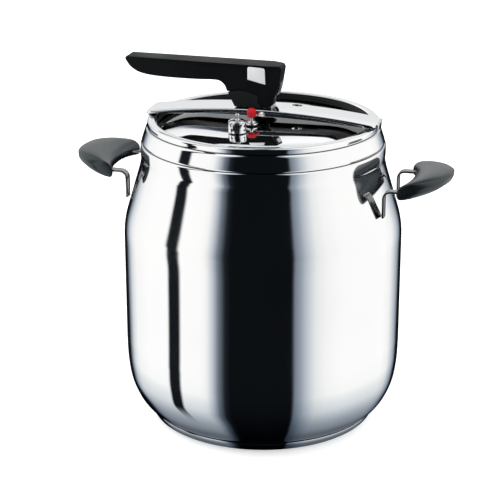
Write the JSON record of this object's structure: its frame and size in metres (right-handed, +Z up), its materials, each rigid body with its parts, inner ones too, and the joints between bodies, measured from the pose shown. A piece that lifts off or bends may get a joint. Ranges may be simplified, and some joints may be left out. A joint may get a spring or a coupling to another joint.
{
  "type": "stovetop pressure cooker",
  "caption": "Deep bulging steel pot with a lid sealed inside its rim, held by a bridge bar and a cam lever, with side grips, a steam valve and a red pressure indicator.",
  "frame": {"origin": "centre of the flat base, where the pot rests", "axes": "+Z up, +X through the right side grip and along the bridge bar with the lever pointing to -X, -Y the side where the valves are"},
  "size_m": [0.38, 0.277, 0.367],
  "materials": {
    "polished_steel": "mirror polished stainless steel",
    "plain_steel": "plain bright steel",
    "core_aluminium": "plain cast disc",
    "black_plastic": "semi gloss moulded thermoset",
    "bush_plastic": "matt nylon",
    "grey_rubber": "silicone rubber",
    "red_rubber": "satin silicone rubber"
  },
  "bodies": {
    "pot": {"pot_shell": "polished_steel", "base_core": "core_aluminium", "base_cap": "polished_steel", "left_grip": "black_plastic", "right_grip": "black_plastic", "left_bracket_front": "plain_steel", "left_bracket_rear": "plain_steel", "right_bracket_front": "plain_steel", "right_bracket_rear": "plain_steel", "left_grip_screw_front": "plain_steel", "left_grip_screw_rear": "plain_steel", "right_grip_screw_front": "plain_steel", "right_grip_screw_rear": "plain_steel"},
    "bridge": {"bridge_bar": "polished_steel", "left_end_pad": "grey_rubber", "right_end_pad": "grey_rubber", "hub_base": "black_plastic", "pivot_saddle": "plain_steel", "saddle_rivet_front": "plain_steel", "saddle_rivet_rear": "plain_steel", "pivot_pin": "plain_steel", "stud_bush": "bush_plastic"},
    "lever": {"lever_handle": "black_plastic", "lever_plate_front": "polished_steel", "lever_plate_rear": "polished_steel", "lever_cam_front": "plain_steel", "lever_cam_rear": "plain_steel", "cam_rivet": "plain_steel", "heel_strip": "plain_steel"},
    "lid": {"lid_disc": "polished_steel", "lid_gasket": "grey_rubber", "centre_stud": "plain_steel", "stud_plate": "polished_steel", "stud_nut": "plain_steel", "cross_pin": "plain_steel", "stud_spring": "plain_steel", "valve_body": "polished_steel", "valve_cap": "polished_steel", "valve_seal": "grey_rubber", "valve_nut": "plain_steel", "valve_spring": "plain_steel", "indicator_collar": "plain_steel", "indicator_seal": "grey_rubber", "indicator_nut": "plain_steel", "indicator_spring": "plain_steel"},
    "valve_weight": {"valve_plunger": "plain_steel", "valve_lift_pin": "plain_steel"},
    "indicator": {"indicator_stem": "plain_steel", "indicator_cap": "red_rubber"}
  },
  "joints": [
    {"name": "bridge_lift", "type": "slide", "parent": "pot", "child": "bridge", "axis": [0, 0, 1], "range_m": [0, 0.12]},
    {"name": "lever_turn", "type": "hinge", "parent": "bridge", "child": "lever", "pos_m": [0.006, 0, 0.332], "axis": [0, 1, 0], "range_deg": [0, 70]},
    {"name": "lid_pull", "type": "slide", "parent": "bridge", "child": "lid", "axis": [0, 0, 1], "range_m": [0, 0.0061], "deforming": ["lid_disc", "lid_gasket", "stud_spring"]},
    {"name": "valve_lift", "type": "slide", "parent": "lid", "child": "valve_weight", "axis": [0, 0, 1], "range_m": [0, 0.0015], "stiffness_N_per_m": 200, "deforming": ["valve_spring"]},
    {"name": "indicator_rise", "type": "slide", "parent": "lid", "child": "indicator", "axis": [0, 0, 1], "range_m": [0, 0.003], "stiffness_N_per_m": 150, "deforming": ["indicator_spring"]}
  ],
  "couplings": [
    {"joint": "lid_pull", "follows": "lever_turn", "m_per_rad": 0.004911}
  ]
}
